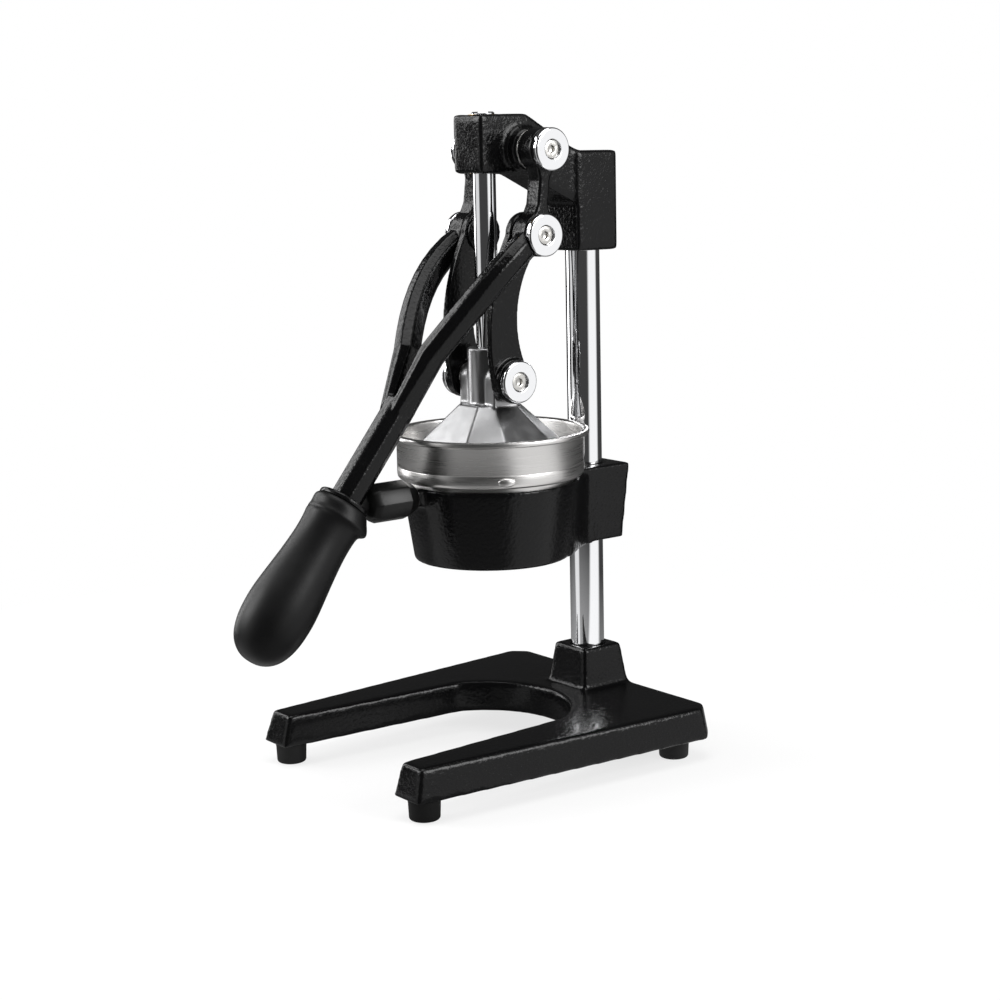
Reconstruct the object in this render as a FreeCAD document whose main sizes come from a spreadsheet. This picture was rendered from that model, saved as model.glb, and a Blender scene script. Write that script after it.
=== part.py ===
# Hand lever citrus press: cast base and column, bowl bracket with a strainer cup, a head that
# guides a sliding rod, a press cone on that rod, and a forked lever that works it by two links.
# Millimetres. +Z is up, -Y is the front where the handle is, and the floor is at Z = 0.
# Sizes called _y are measured backwards from the rod's axis, sizes called _x from the middle.
import FreeCAD, Part
import math
import os
import re
import Sketcher
from FreeCAD import Placement, Rotation, Vector

SIZES = {
    # rod and column
    "rod_y": 42.175, "rod_diameter": 14.0, "rod_proud": 1.5, "rod_seat_rise": 38.5,
    "column_diameter": 21.6, "column_y": 76.1, "column_seat": 26.0, "column_drop": 35.0,
    "fit_gap": 0.03, "running_gap": 0.05, "part_gap": 0.4,
    # base
    "foot_height": 12.8, "foot_diameter": 18.2, "foot_flare": 1.0, "foot_recess_diameter": 10.0,
    "foot_recess_depth": 6.0, "front_foot_x": 71.9, "front_foot_y": -107.7,
    "rear_foot_x": 80.0, "rear_foot_y": 78.0,
    "leg_height": 20.1, "leg_front_y": -115.2, "leg_front_inner_x": 60.4, "leg_front_outer_x": 80.6,
    "plate_rear_x": 96.5, "plate_rear_y": 96.0, "plate_corner": 9.0, "leg_draft": 3.6,
    "front_draft": 5.6, "cove_radius": 57.7, "cove_half_width": 53.1, "cove_start_y": 8.7,
    "pedestal_top": 59.1, "pedestal_top_width": 31.0, "pedestal_foot_width": 38.0,
    "bolt_diameter": 8.0, "bolt_length": 24.0, "bolt_head_width": 15.0, "bolt_head_height": 5.0,
    "bolt_washer_diameter": 20.0, "bolt_washer_thickness": 1.6, "bolt_recess_diameter": 23.0,
    "bolt_recess_depth": 7.2, "foot_screw_diameter": 5.0, "foot_screw_length": 18.0,
    "foot_screw_head_diameter": 8.4, "foot_screw_head_height": 2.8,
    # bowl bracket and bumper
    "bowl_bottom": 127.5, "bowl_top": 176.0, "bowl_bottom_radius": 48.3, "bowl_top_radius": 55.3,
    "bowl_wall": 5.3, "clamp_top": 177.6, "clamp_bottom": 129.0, "clamp_top_width": 41.0,
    "clamp_bottom_width": 34.0, "neck_root_y": 38.0, "neck_root_width": 58.0, "neck_waist_y": 56.0,
    "stub_z": 171.5, "stub_height": 10.8, "stub_width": 13.0, "stub_end_y": -62.0,
    "peg_diameter": 10.0, "peg_end_y": -84.0, "bumper_start_y": -58.5, "bumper_end_y": -94.4,
    "bumper_width": 23.5, "bumper_nose": 9.0, "set_screw_diameter": 8.0, "set_screw_length": 8.0,
    "bracket_screw_z": 155.0, "head_screw_drop": 54.0, "screw_spread": 26.0,
    # strainer cup and reamer
    "cup_height": 31.0, "rim_overhang": 3.5, "cup_overhang": 2.4, "cup_seat_step": 3.3,
    "cup_sheet": 1.2, "cup_corner": 4.0, "cup_seat_inset": 3.7, "cup_dish_gap": 2.5,
    "cup_dish_depth": 10.0, "rim_roll": 3.6, "slot_count": 20.0, "slot_width": 3.0,
    "slot_length": 8.5, "slot_inset": 3.0,
    "reamer_radius": 33.0, "reamer_height": 36.0, "reamer_tip_radius": 5.0, "reamer_rib": 1.6,
    # head
    "head_top": 397.0, "head_front_height": 34.9, "head_half_width": 14.1, "head_front_y": -12.9,
    "head_flat_end_y": 23.0, "head_slope_y": 55.3, "head_slope_drop": 18.7, "head_block_drop": 22.7,
    "head_block_height": 61.5, "head_block_width": 32.6, "arch_start_y": 21.0, "arch_end_y": 60.0,
    "arch_drop": 55.0, "bush_diameter": 18.0,
    # pivots: A on the head, B between lever and links, C on the press
    "a_y": 19.0, "a_drop": 21.3, "b_y": 13.1, "b_drop": 71.4, "c_rise": 44.9,
    "cap_diameter": 25.4, "cap_thickness": 4.6, "cap_edge": 0.9, "cap_outer_x": 42.9,
    "lower_cap_outer_x": 31.9, "cap_recess_diameter": 11.4, "cap_recess_depth": 1.2,
    "cap_screw_diameter": 6.0, "cap_screw_head_diameter": 10.6, "cap_screw_length": 14.0,
    "cap_screw_head_height": 2.6, "socket_width": 4.0, "socket_depth": 2.0,
    "shaft_diameter": 14.0, "boss_diameter": 26.4, "boss_end_x": 22.6, "washer_diameter": 24.4,
    "washer_thickness": 1.5, "pin_diameter": 12.0, "lower_washer_diameter": 18.0,
    # lever, ferrule and grip
    "eye_diameter": 25.8, "eye_inner_x": 24.9, "web_depth": 8.0, "arm_width": 14.6,
    "arm_depth": 16.4, "arm_chamfer": 4.2, "arm_bow_x": 40.0, "arm_bow_y": -12.7,
    "arm_bow_drop": 13.2, "arm_turn_x": 31.0, "arm_turn_y": -33.2, "arm_turn_z": 288.0,
    "arm_foot_x": 12.5, "arm_foot_y": -51.5, "arm_foot_z": 257.5,
    "join_x": 4.3, "join_along": 58.0, "bar_diameter": 18.4,
    "grip_top_y": -107.5, "grip_top_z": 176.0, "bar_lean": 38.9, "bar_length": 68.0,
    "tang_diameter": 14.0, "tang_length": 70.0, "ferrule_diameter": 31.8, "ferrule_thickness": 3.2,
    "grip_length": 106.5, "grip_top_diameter": 33.0, "grip_lip_diameter": 38.0, "grip_lip_at": 7.0,
    "grip_waist_diameter": 33.8, "grip_waist_at": 25.0, "grip_bulge_diameter": 42.2,
    "grip_bulge_at": 74.0,
    # links
    "link_inner_x": 19.7, "link_outer_x": 24.5, "link_eye_outer_x": 27.0, "link_eye_diameter": 27.0,
    "link_front_radius": 126.0, "link_rear_radius": 66.0, "stud_inner_x": 18.0,
    "stud_diameter": 24.0,
    # press cone
    "hub_height": 64.0, "hub_radius": 12.7, "block_half_width": 17.5, "block_depth": 19.0,
    "cone_height": 29.5, "cone_top_radius": 18.5, "cone_lift": 14.2, "cone_gap": 6.0,
    "skirt_height": 4.5, "cone_wall": 4.5, "hollow_top_radius": 17.0,
    "facet_front": 32.0, "facet_side": 66.0,
}

# Places and radii that follow from the sizes above
FOLLOWS = {
    # the column's end, the head and the upper pivots hang from the head's top
    "column_top": "head_top - column_drop", "head_front_bottom": "head_top - head_front_height",
    "head_slope_z": "head_top - head_slope_drop", "head_block_top": "head_top - head_block_drop",
    "head_block_bottom": "head_block_top - head_block_height", "arch_z": "head_top - arch_drop",
    "head_screw_z": "head_top - head_screw_drop",
    "a_z": "head_top - a_drop", "b_z": "head_top - b_drop", "arm_bow_z": "b_z - arm_bow_drop",
    # the cup sits in the bowl
    "cup_dish_radius": "bowl_top_radius - bowl_wall - cup_dish_gap",
    "cup_seat_radius": "bowl_top_radius - cup_seat_inset", "cup_radius": "bowl_top_radius + cup_overhang",
    "cup_rim_radius": "cup_radius + rim_overhang", "cup_dish_bottom": "bowl_top - cup_dish_depth",
    "cup_bottom": "bowl_top + cup_seat_step", "cup_rim_z": "bowl_top + cup_height",
    "slot_outer_radius": "cup_dish_radius - slot_inset",
    "slot_inner_radius": "slot_outer_radius - slot_length",
    # the press cone stands in the cup, and carries its hub, the rod and the lower pivots
    "cone_bottom_radius": "cup_radius - cup_sheet - cone_gap", "cone_bottom_z": "cup_bottom + cone_lift",
    "cone_top_z": "cone_bottom_z + cone_height", "hub_top": "cone_bottom_z + hub_height",
    "rod_seat": "cone_bottom_z + rod_seat_rise", "c_z": "cone_bottom_z + c_rise",
}

doc = FreeCAD.newDocument("citrus_press")
sizes = doc.addObject("Spreadsheet::Sheet", "sizes")
cells = [(alias, str(number)) for alias, number in SIZES.items()]
cells += [(alias, "=" + formula) for alias, formula in FOLLOWS.items()]
for row, (alias, content) in enumerate(cells, start=1):
    sizes.set("A%d" % row, alias.replace("_", " "))
    sizes.setAlias("B%d" % row, alias)
    sizes.set("B%d" % row, content)
doc.recompute()

NODES = []
WORD = re.compile(r"[a-z]+(?:_[a-z]+)+")


def bound(formula):
    """The formula as an expression on the sheet's cells."""
    return WORD.sub(lambda word: "sizes." + word.group(), formula)


def value(formula):
    """The formula's number now."""
    return float(sizes.evalExpression(bound(formula)))


def bind(thing, target, formula):
    """Ties one property of an object to a formula of sizes."""
    thing.setExpression(target, bound(formula))


def place(thing, x="0", y="rod_y", z="0", turn=Rotation()):
    """Puts an object at a place given by formulas, turned by a fixed rotation."""
    thing.Placement = Placement(Vector(value(x), value(y), value(z)), turn)
    for letter, formula in zip("xyz", (x, y, z)):
        bind(thing, "Placement.Base." + letter, formula)


def new_body(label):
    """An empty body that becomes the node of that name."""
    body = doc.addObject("PartDesign::Body", label)
    body.Label = label
    NODES.append(body)
    return body


def outline(body, name, plane, corners, lift="0"):
    """A closed sketch. A corner is (u, v), or (u, v, radius, side) where an arc leaves it;
    side +1 bulges the arc to the left of the way along the outline, -1 to the right. An arc is
    stored anticlockwise, so one that bulges to the left has its ends the other way round."""
    sketch = body.newObject("Sketcher::SketchObject", name)
    support = [item for item in body.Origin.OriginFeatures if item.Role == plane]
    sketch.AttachmentSupport = [(support[0], "")]
    sketch.MapMode = "FlatFace"
    bind(sketch, "AttachmentOffset.Base.z", lift)
    spots = [Vector(value(corner[0]), value(corner[1]), 0) for corner in corners]
    for here, corner in enumerate(corners):
        start = spots[here]
        end = spots[(here + 1) % len(spots)]
        if len(corner) == 2:
            sketch.addGeometry(Part.LineSegment(start, end))
        else:
            chord = end - start
            left = Vector(-chord.y, chord.x, 0).normalize()
            radius = value(corner[2])
            sagitta = radius - math.sqrt(radius ** 2 - (chord.Length / 2) ** 2)
            middle = (start + end) * 0.5 + left * (sagitta * corner[3])
            ends = (end, start) if corner[3] > 0 else (start, end)
            sketch.addGeometry(Part.Arc(ends[0], middle, ends[1]))
    for here, corner in enumerate(corners):
        following = (here + 1) % len(corners)
        flipped = len(corner) == 4 and corner[3] > 0
        next_flipped = len(corners[following]) == 4 and corners[following][3] > 0
        first = 2 if flipped else 1
        last = 1 if flipped else 2
        next_first = 2 if next_flipped else 1
        sketch.addConstraint(Sketcher.Constraint("Coincident", here, last, following, next_first))
        for kind, axis, formula in (("DistanceX", -2, corner[0]), ("DistanceY", -1, corner[1])):
            if formula == "0":
                sketch.addConstraint(Sketcher.Constraint("PointOnObject", here, first, axis))
            else:
                rule = Sketcher.Constraint(kind, -1, 1, here, first, value(formula))
                bind(sketch, "Constraints[%d]" % sketch.addConstraint(rule), formula)
        if len(corner) == 4:
            rule = Sketcher.Constraint("Radius", here, value(corner[2]))
            bind(sketch, "Constraints[%d]" % sketch.addConstraint(rule), corner[2])
    return sketch


def pad(body, sketch, length):
    feature = body.newObject("PartDesign::Pad", sketch.Name + "_pad")
    feature.Profile = sketch
    feature.Length = value(length)
    bind(feature, "Length", length)
    return feature


def loft(body, low, high):
    """A straight-sided casting between two outlines."""
    feature = body.newObject("PartDesign::AdditiveLoft", low.Name + "_loft")
    feature.Profile = low
    feature.Sections = [(high, [""])]
    feature.Ruled = True
    return feature


def solid(body, kind, name, lengths, x="0", y="0", z="0", turn=Rotation()):
    """One additive or subtractive primitive of a body."""
    feature = body.newObject("PartDesign::" + kind, name)
    for key, formula in lengths.items():
        setattr(feature, key, value(formula))
        bind(feature, key, formula)
    place(feature, x, y, z, turn)
    return feature


ALONG_X = Rotation(Vector(0, 1, 0), 90)
ALONG_BACK_X = Rotation(Vector(0, 1, 0), -90)
ALONG_Y = Rotation(Vector(1, 0, 0), -90)
ALONG_FRONT_Y = Rotation(Vector(1, 0, 0), 90)
UPSIDE_DOWN = Rotation(Vector(1, 0, 0), 180)


def bore(body, name, diameter, length, x="0", y="0", z="0", turn=Rotation()):
    return solid(body, "SubtractiveCylinder", name,
                 {"Radius": "(%s) / 2" % diameter, "Height": length}, x, y, z, turn)


def boss(body, name, diameter, length, x="0", y="0", z="0", turn=Rotation()):
    return solid(body, "AdditiveCylinder", name,
                 {"Radius": "(%s) / 2" % diameter, "Height": length}, x, y, z, turn)


def turned(label, corners, x="0", y="rod_y", z="0", turn=Rotation(), listed=True):
    """A lathe-turned piece: corners are (radius, height along its axis)."""
    body = doc.addObject("PartDesign::Body", label)
    body.Label = label
    sketch = outline(body, label + "_profile", "XZ_Plane", corners)
    feature = body.newObject("PartDesign::Revolution", label + "_turning")
    feature.Profile = sketch
    feature.ReferenceAxis = (sketch, ["V_Axis"])
    feature.Angle = 360
    place(body, x, y, z, turn)
    if listed:
        NODES.append(body)
    return body


def group(label, members):
    """Like fasteners as one node of separate solids."""
    node = doc.addObject("Part::Compound", label)
    node.Label = label
    node.Links = members
    NODES.append(node)
    return node


def sides(name):
    """The left and right copies of a piece: name, sign of X, and the turn that points outwards."""
    return ((name + "_left", -1, ALONG_BACK_X), (name + "_right", 1, ALONG_X))


# Base casting: a plate with a round cove for the glass, two tapering legs and a pedestal
def base_outline(body, name, grow, front, lift):
    """The plan of the base, grown outwards by a formula, at a height."""
    outer = "leg_front_outer_x + " + grow
    inner = "leg_front_inner_x - (%s) / 2" % grow
    wide = "plate_rear_x + " + grow
    back = "plate_rear_y + (%s) / 2" % grow
    cove = "cove_half_width - (%s) / 2" % grow
    nose = "leg_front_y - " + front
    return outline(body, name, "XY_Plane", [
        (wide, "%s - plate_corner" % back), ("%s - plate_corner" % wide, back),
        ("plate_corner - (%s)" % wide, back), ("-(%s)" % wide, "%s - plate_corner" % back),
        ("-(%s)" % outer, nose), ("-(%s)" % inner, nose),
        ("-(%s)" % cove, "cove_start_y", "cove_radius - (%s) / 2" % grow, 1),
        (cove, "cove_start_y"), (inner, nose), (outer, nose)], lift)


base = new_body("base_casting")
place(base)
loft(base, base_outline(base, "base_foot_plan", "leg_draft", "front_draft", "foot_height"),
     base_outline(base, "base_top_plan", "0 * leg_draft", "0 * front_draft", "foot_height + leg_height"))


def square(body, name, width, lift):
    """A square section about the column's axis."""
    half = "(%s) / 2" % width
    near = "column_y - %s" % half
    far = "column_y + %s" % half
    return outline(body, name, "XY_Plane",
                   [(half, near), (half, far), ("-%s" % half, far), ("-%s" % half, near)], lift)


loft(base, square(base, "pedestal_foot", "pedestal_foot_width", "foot_height + leg_height"),
     square(base, "pedestal_crown", "pedestal_top_width", "pedestal_top"))
bore(base, "column_socket", "column_diameter + 2 * fit_gap", "pedestal_top - column_seat + 1",
     y="column_y", z="column_seat")
bore(base, "bolt_hole", "bolt_diameter + 2 * fit_gap", "column_seat - foot_height + 1",
     y="column_y", z="foot_height")
bore(base, "bolt_recess", "bolt_recess_diameter", "bolt_recess_depth + 1",
     y="column_y", z="foot_height - 1")
FEET = (("front_left", "-front_foot_x", "front_foot_y"), ("front_right", "front_foot_x", "front_foot_y"),
        ("rear_left", "-rear_foot_x", "rear_foot_y"), ("rear_right", "rear_foot_x", "rear_foot_y"))
SCREW_TIP = "foot_recess_depth + foot_screw_length"
for corner_name, foot_x, foot_y in FEET:
    bore(base, "screw_hole_" + corner_name, "foot_screw_diameter + 2 * fit_gap",
         SCREW_TIP + " - foot_height + 2", x=foot_x, y=foot_y, z="foot_height - 1")

# Rubber feet, each held by a screw in a recess from below
foot_screws = []
for corner_name, foot_x, foot_y in FEET:
    turned("foot_" + corner_name, [
        ("foot_recess_diameter / 2", "0"), ("foot_diameter / 2 - 1", "0"), ("foot_diameter / 2", "1"),
        ("foot_diameter / 2 + foot_flare", "foot_height"),
        ("foot_screw_diameter / 2 + fit_gap", "foot_height"),
        ("foot_screw_diameter / 2 + fit_gap", "foot_recess_depth"),
        ("foot_recess_diameter / 2", "foot_recess_depth")],
        x=foot_x, y="rod_y + " + foot_y)
    foot_screws.append(turned("foot_screw_" + corner_name, [
        ("0", "foot_recess_depth - foot_screw_head_height"),
        ("foot_screw_head_diameter / 2 - 1", "foot_recess_depth - foot_screw_head_height"),
        ("foot_screw_head_diameter / 2", "foot_recess_depth - foot_screw_head_height / 2"),
        ("foot_screw_head_diameter / 2", "foot_recess_depth"),
        ("foot_screw_diameter / 2", "foot_recess_depth"), ("foot_screw_diameter / 2", SCREW_TIP),
        ("0", SCREW_TIP)], x=foot_x, y="rod_y + " + foot_y, listed=False))
group("foot_screws", foot_screws)

# Column with its bolt and washer under the base
turned("column", [
    ("bolt_diameter / 2 + fit_gap", "column_seat"), ("column_diameter / 2 - 1", "column_seat"),
    ("column_diameter / 2", "column_seat + 1"), ("column_diameter / 2", "column_top - 1"),
    ("column_diameter / 2 - 1", "column_top"), ("0", "column_top"),
    ("0", "column_seat + bolt_length"), ("bolt_diameter / 2 + fit_gap", "column_seat + bolt_length")],
    y="rod_y + column_y")
BOLT_SEAT = "foot_height + bolt_recess_depth"
turned("column_washer", [
    ("bolt_diameter / 2 + fit_gap", BOLT_SEAT + " - bolt_washer_thickness"),
    ("bolt_washer_diameter / 2", BOLT_SEAT + " - bolt_washer_thickness"),
    ("bolt_washer_diameter / 2", BOLT_SEAT), ("bolt_diameter / 2 + fit_gap", BOLT_SEAT)],
    y="rod_y + column_y")
bolt = new_body("column_bolt")
place(bolt, y="rod_y + column_y", z=BOLT_SEAT + " - bolt_washer_thickness")
boss(bolt, "bolt_shank", "bolt_diameter",
     "column_seat - foot_height - bolt_recess_depth + bolt_washer_thickness + bolt_length - 2")
head = solid(bolt, "AdditivePrism", "bolt_head",
             {"Circumradius": "bolt_head_width / 2", "Height": "bolt_head_height"}, z="-bolt_head_height")
head.Polygon = 6

# Bowl bracket: drafted bowl open at both ends, a neck, a clamp block on the column and a front stub
bracket = new_body("bowl_bracket")
place(bracket)
bowl = outline(bracket, "bowl_profile", "XZ_Plane", [
    ("bowl_bottom_radius - bowl_wall", "bowl_bottom"), ("bowl_bottom_radius", "bowl_bottom"),
    ("bowl_top_radius", "bowl_top"), ("bowl_top_radius - bowl_wall", "bowl_top")])
bowl_turning = bracket.newObject("PartDesign::Revolution", "bowl_turning")
bowl_turning.Profile = bowl
bowl_turning.ReferenceAxis = (bowl, ["V_Axis"])
bowl_turning.Angle = 360
loft(bracket, square(bracket, "clamp_foot", "clamp_bottom_width", "clamp_bottom"),
     square(bracket, "clamp_crown", "clamp_top_width", "clamp_top"))


def neck_section(name, y, low, high, low_width, high_width):
    """A drafted section of the neck, standing across the middle plane at y."""
    corners = [("(%s) / 2" % low_width, low), ("(%s) / 2" % high_width, high),
               ("-(%s) / 2" % high_width, high), ("-(%s) / 2" % low_width, low)]
    return outline(bracket, name, "XZ_Plane", corners, "-(%s)" % y)


CLAMP_FACE = "column_y - clamp_bottom_width / 4"
neck_root = neck_section("neck_root", "neck_root_y", "bowl_bottom", "bowl_top - 0.5",
                         "neck_root_width - 12", "neck_root_width")
neck_waist = neck_section("neck_waist", "neck_waist_y", "bowl_bottom + 0.5", "bowl_top - 0.2",
                          "clamp_bottom_width + 1", "clamp_top_width")
neck_end = neck_section("neck_end", CLAMP_FACE, "clamp_bottom", "clamp_top - 0.2",
                        "clamp_bottom_width - 1", "clamp_top_width - 1")
neck = loft(bracket, neck_root, neck_waist)
neck.Sections = [(neck_waist, [""]), (neck_end, [""])]
solid(bracket, "SubtractiveCone", "bowl_clearing",
      {"Radius1": "bowl_bottom_radius - bowl_wall", "Radius2": "bowl_top_radius - bowl_wall",
       "Height": "bowl_top - bowl_bottom"}, z="bowl_bottom")
bore(bracket, "cup_clearing", "2 * cup_radius + 2", "clamp_top - bowl_top + 1", z="bowl_top")
bore(bracket, "clamp_bore", "column_diameter + 2 * fit_gap", "clamp_top - clamp_bottom + 2",
     y="column_y", z="clamp_bottom - 1")
STUB_ROOT = "-bowl_top_radius + 2"
solid(bracket, "AdditiveBox", "stub", {"Length": "stub_width", "Width": STUB_ROOT + " - stub_end_y",
                                       "Height": "stub_height"},
      x="-stub_width / 2", y="stub_end_y", z="stub_z - stub_height / 2")
boss(bracket, "stub_peg", "peg_diameter", "stub_end_y - peg_end_y", y="stub_end_y", z="stub_z",
     turn=ALONG_FRONT_Y)


def clamp_screws(label, wall_y, centre_z, holder):
    """Two set screws from behind that press on the column, and their holes in the holder."""
    members = []
    for name, step in (("low", "-1"), ("high", "1")):
        height = "%s + %s * screw_spread / 2" % (centre_z, step)
        bore(holder, label + "_hole_" + name, "set_screw_diameter + 2 * fit_gap",
             "%s - column_y + 2" % wall_y, y="column_y", z=height, turn=ALONG_Y)
        members.append(turned(label + "_" + name, [
            ("socket_width / 2", "socket_depth"), ("0", "socket_depth"), ("0", "set_screw_length"),
            ("set_screw_diameter / 2 - 1", "set_screw_length"),
            ("set_screw_diameter / 2", "set_screw_length - 1"), ("set_screw_diameter / 2", "0"),
            ("socket_width / 2", "0")],
            y="rod_y + column_y + column_diameter / 2 + set_screw_length", z=height,
            turn=ALONG_FRONT_Y, listed=False))
    group(label, members)


clamp_screws("bracket_set_screws", "column_y + clamp_top_width / 2", "bracket_screw_z", bracket)

# Rubber bumper: an eight-sided cap with a rounded nose, pushed over the stub's peg
bumper = new_body("bumper")
place(bumper, y="rod_y + bumper_start_y", z="stub_z", turn=ALONG_FRONT_Y)
block = solid(bumper, "AdditivePrism", "bumper_sides",
              {"Circumradius": "bumper_width / 2 / cos(22.5)",
               "Height": "bumper_start_y - bumper_end_y - bumper_nose"},
              turn=Rotation(Vector(0, 0, 1), 22.5))
block.Polygon = 8
solid(bumper, "AdditiveCone", "bumper_nose_cone",
      {"Radius1": "bumper_width / 2", "Radius2": "bumper_width / 4", "Height": "bumper_nose"},
      z="bumper_start_y - bumper_end_y - bumper_nose")
bore(bumper, "peg_bore", "peg_diameter + 2 * fit_gap", "bumper_start_y - peg_end_y + 1")
solid(bumper, "SubtractiveBox", "stub_socket",
      {"Length": "stub_width + 2 * fit_gap", "Width": "stub_height + 2 * fit_gap",
       "Height": "bumper_start_y - stub_end_y + 1 + fit_gap"},
      x="-stub_width / 2 - fit_gap", y="-stub_height / 2 - fit_gap", z="-1")

# Strainer cup: one sheet with a rolled rim, a seat on the bowl's edge and a slotted dish
cup = new_body("strainer_cup")
place(cup)
cup_profile = outline(cup, "cup_profile", "XZ_Plane", [
    ("0", "cup_dish_bottom"), ("cup_dish_radius - 4", "cup_dish_bottom"),
    ("cup_dish_radius", "cup_dish_bottom + 4"), ("cup_dish_radius", "bowl_top"),
    ("cup_seat_radius", "bowl_top"), ("cup_seat_radius", "cup_bottom"),
    ("cup_radius - cup_corner", "cup_bottom", "cup_corner", -1), ("cup_radius", "cup_bottom + cup_corner"),
    ("cup_radius", "cup_rim_z - rim_roll"), ("cup_rim_radius", "cup_rim_z - rim_roll"),
    ("cup_rim_radius", "cup_rim_z - cup_sheet"), ("cup_rim_radius - cup_sheet", "cup_rim_z"),
    ("cup_radius - cup_sheet", "cup_rim_z"), ("cup_radius - cup_sheet", "cup_bottom + cup_corner"),
    ("cup_radius - cup_corner", "cup_bottom + cup_sheet"),
    ("cup_seat_radius - cup_sheet", "cup_bottom + cup_sheet"),
    ("cup_seat_radius - cup_sheet", "bowl_top + cup_sheet"),
    ("cup_dish_radius - cup_sheet", "bowl_top + cup_sheet"),
    ("cup_dish_radius - cup_sheet", "cup_dish_bottom + 4"),
    ("cup_dish_radius - 4", "cup_dish_bottom + cup_sheet"), ("0", "cup_dish_bottom + cup_sheet")])
cup_turning = cup.newObject("PartDesign::Revolution", "cup_turning")
cup_turning.Profile = cup_profile
cup_turning.ReferenceAxis = (cup_profile, ["V_Axis"])
cup_turning.Angle = 360
doc.recompute()
slot = solid(cup, "SubtractiveBox", "strainer_slot",
             {"Length": "slot_outer_radius - slot_inner_radius", "Width": "slot_width",
              "Height": "cup_sheet + 2"}, x="slot_inner_radius", y="-slot_width / 2",
             z="cup_dish_bottom - 1")
slots = cup.newObject("PartDesign::PolarPattern", "strainer_slots")
slots.Originals = [slot]
slots.Axis = (cup_profile, ["V_Axis"])
slots.Angle = 360
slots.Occurrences = int(value("slot_count"))
bind(slots, "Occurrences", "slot_count")
cup.Tip = slots

# Reamer cone with ribs, standing in the cup's dish
REAMER_SEAT = "cup_dish_bottom + cup_sheet"
turned("reamer_cone", [
    ("0", REAMER_SEAT), ("reamer_radius", REAMER_SEAT), ("reamer_radius", REAMER_SEAT + " + 3"),
    ("reamer_tip_radius", REAMER_SEAT + " + reamer_height - 2"),
    ("reamer_tip_radius - 3", REAMER_SEAT + " + reamer_height"), ("0", REAMER_SEAT + " + reamer_height")])
reamer = NODES[-1]
doc.recompute()
rib_profile = outline(reamer, "rib_profile", "XZ_Plane", [
    ("0", REAMER_SEAT), ("reamer_radius", REAMER_SEAT), ("reamer_radius", REAMER_SEAT + " + 3 + reamer_rib"),
    ("reamer_tip_radius", REAMER_SEAT + " + reamer_height - 2 + reamer_rib"),
    ("0", REAMER_SEAT + " + reamer_height")],
    "-reamer_rib / 2")
rib = pad(reamer, rib_profile, "reamer_rib")
ribs = reamer.newObject("PartDesign::PolarPattern", "reamer_ribs")
ribs.Originals = [rib]
ribs.Axis = (rib_profile, ["V_Axis"])
ribs.Angle = 360
ribs.Occurrences = 10
reamer.Tip = ribs

# Head casting: front block that guides the rod, sloping arm, rear clamp block and two pivot bosses
head_body = new_body("head_casting")
place(head_body)
head_profile = outline(head_body, "head_profile", "YZ_Plane", [
    ("head_front_y", "head_front_bottom"), ("arch_start_y", "head_front_bottom - 1"),
    ("arch_end_y", "arch_z"), ("column_y", "arch_z"), ("column_y", "head_block_top"),
    ("head_slope_y + 9", "head_block_top"), ("head_slope_y", "head_slope_z"),
    ("head_flat_end_y", "head_top"), ("head_front_y", "head_top")], "-head_half_width")
pad(head_body, head_profile, "2 * head_half_width")
solid(head_body, "AdditiveBox", "rear_block",
      {"Length": "head_block_width", "Width": "head_block_width",
       "Height": "head_block_top - head_block_bottom"},
      x="-head_block_width / 2", y="column_y - head_block_width / 2", z="head_block_bottom")
boss(head_body, "pivot_bosses", "boss_diameter", "2 * boss_end_x", x="-boss_end_x", y="a_y", z="a_z",
     turn=ALONG_X)
bore(head_body, "shaft_bore", "shaft_diameter + 2 * fit_gap", "2 * boss_end_x + 2", x="-boss_end_x - 1",
     y="a_y", z="a_z", turn=ALONG_X)
bore(head_body, "bush_bore", "bush_diameter + 2 * fit_gap", "head_top - head_front_bottom + 2",
     z="head_front_bottom - 1")
bore(head_body, "column_bore", "column_diameter + 2 * fit_gap", "column_top - head_block_bottom + 1",
     y="column_y", z="head_block_bottom - 1")
clamp_screws("head_set_screws", "column_y + head_block_width / 2", "head_screw_z", head_body)

# Bush that the rod slides in, and the shaft that carries the lever
turned("guide_bush", [
    ("rod_diameter / 2 + running_gap", "head_front_bottom"), ("bush_diameter / 2", "head_front_bottom"),
    ("bush_diameter / 2", "head_top"), ("rod_diameter / 2 + running_gap", "head_top")])


def pin(label, diameter, start, end, y, z):
    """A round pin along X with a screw hole in each end that carries a cap."""
    body = new_body(label)
    place(body, start, "rod_y + " + y, z, ALONG_X)
    boss(body, label + "_round", diameter, "(%s) - (%s)" % (end, start))
    return body


SCREW_HOLE = "cap_screw_diameter + 2 * fit_gap"
PIN_END = "cap_outer_x - cap_thickness"
LOWER_PIN_END = "lower_cap_outer_x - cap_thickness"
shaft = pin("top_pivot_shaft", "shaft_diameter", "-(%s)" % PIN_END, PIN_END, "a_y", "a_z")
bore(shaft, "shaft_screw_hole_left", SCREW_HOLE, "cap_screw_length + 1", z="-1")
bore(shaft, "shaft_screw_hole_right", SCREW_HOLE, "cap_screw_length + 1",
     z="2 * (%s) - cap_screw_length" % PIN_END)


def ring(label, inner, outer, thickness, x, y, z, turn):
    """A washer whose inner face is at x, facing outwards along turn."""
    turned(label, [("(%s) / 2" % inner, "0"), ("(%s) / 2" % outer, "0"),
                   ("(%s) / 2" % outer, thickness), ("(%s) / 2" % inner, thickness)],
           x=x, y="rod_y + " + y, z=z, turn=turn)


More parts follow.
